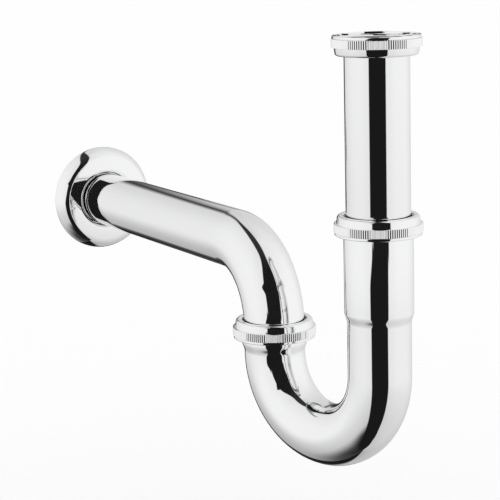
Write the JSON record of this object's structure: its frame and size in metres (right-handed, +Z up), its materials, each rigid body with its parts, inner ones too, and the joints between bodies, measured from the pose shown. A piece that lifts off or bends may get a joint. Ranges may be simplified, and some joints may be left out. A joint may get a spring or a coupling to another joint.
{
  "type": "basin trap",
  "caption": "Chromed tubular basin trap: straight inlet pipe, U-bend with knurled compression nuts, bent wall pipe and domed wall rosette, holding a water seal below a washbasin.",
  "frame": {"origin": "on the wall pipe's axis, in the face of the wall, 0.1 mm behind the rosette's rim", "axes": "+Y along the wall pipe into the wall, +Z up, +X to the right seen from the front; the inlet leg is in front (-Y), turned 13 degrees to +X"},
  "size_m": [0.0708, 0.3234, 0.2231],
  "materials": {
    "chrome": "polished chrome plate on brass",
    "rubber": "matte black rubber",
    "slip_plastic": "natural white plastic"
  },
  "bodies": {
    "wall_pipe": {"wall_pipe": "chrome"},
    "wall_rosette": {"wall_rosette": "chrome"},
    "u_bend": {"u_bend": "chrome", "outlet_thread_collar": "chrome", "inlet_thread_collar": "chrome", "outlet_seal": "rubber"},
    "outlet_slip_ring": {"outlet_slip_ring": "slip_plastic"},
    "outlet_nut": {"outlet_nut": "chrome"},
    "inlet_seal": {"inlet_seal": "rubber"},
    "inlet_pipe": {"inlet_pipe": "chrome", "basin_gasket": "rubber"},
    "inlet_slip_ring": {"inlet_slip_ring": "slip_plastic"},
    "inlet_nut": {"inlet_nut": "chrome"},
    "basin_nut": {"basin_nut": "chrome"}
  },
  "joints": [
    {"name": "rosette_slide", "type": "slide", "parent": "wall_pipe", "child": "wall_rosette", "axis": [0, -1, 0], "range_m": [0, 0.14]},
    {"name": "u_bend_swivel", "type": "hinge", "parent": "wall_pipe", "child": "u_bend", "pos_m": [0, -0.2124, 0], "axis": [0, 0, 1], "range_deg": [-148, 122]},
    {"name": "outlet_nut_lift", "type": "slide", "parent": "u_bend", "child": "outlet_slip_ring", "axis": [0, 0, 1], "range_m": [0, 0.003]},
    {"name": "outlet_nut_turn", "type": "hinge", "parent": "outlet_slip_ring", "child": "outlet_nut", "pos_m": [0, -0.2124, -0.041], "axis": [0, 0, 1], "range_deg": [0, 720]},
    {"name": "inlet_nut_lift", "type": "slide", "parent": "u_bend", "child": "inlet_slip_ring", "axis": [0, 0, 1], "range_m": [0, 0.0045]},
    {"name": "inlet_nut_turn", "type": "hinge", "parent": "inlet_slip_ring", "child": "inlet_nut", "pos_m": [0.0171, -0.28645, 0.022], "axis": [0, 0, 1], "range_deg": [0, 1080]},
    {"name": "inlet_pipe_turn", "type": "hinge", "parent": "u_bend", "child": "inlet_seal", "pos_m": [0.0171, -0.28645, 0.02], "axis": [0, 0, 1], "continuous": true},
    {"name": "inlet_pipe_slide", "type": "slide", "parent": "inlet_seal", "child": "inlet_pipe", "axis": [0, 0, 1], "range_m": [-0.009, 0.024]},
    {"name": "basin_nut_turn", "type": "hinge", "parent": "inlet_pipe", "child": "basin_nut", "pos_m": [0.0171, -0.28645, 0.11], "axis": [0, 0, 1], "continuous": true}
  ],
  "couplings": [
    {"joint": "outlet_nut_lift", "follows": "outlet_nut_turn", "m_per_rad": 0.00023873},
    {"joint": "inlet_nut_lift", "follows": "inlet_nut_turn", "m_per_rad": 0.00023873}
  ]
}
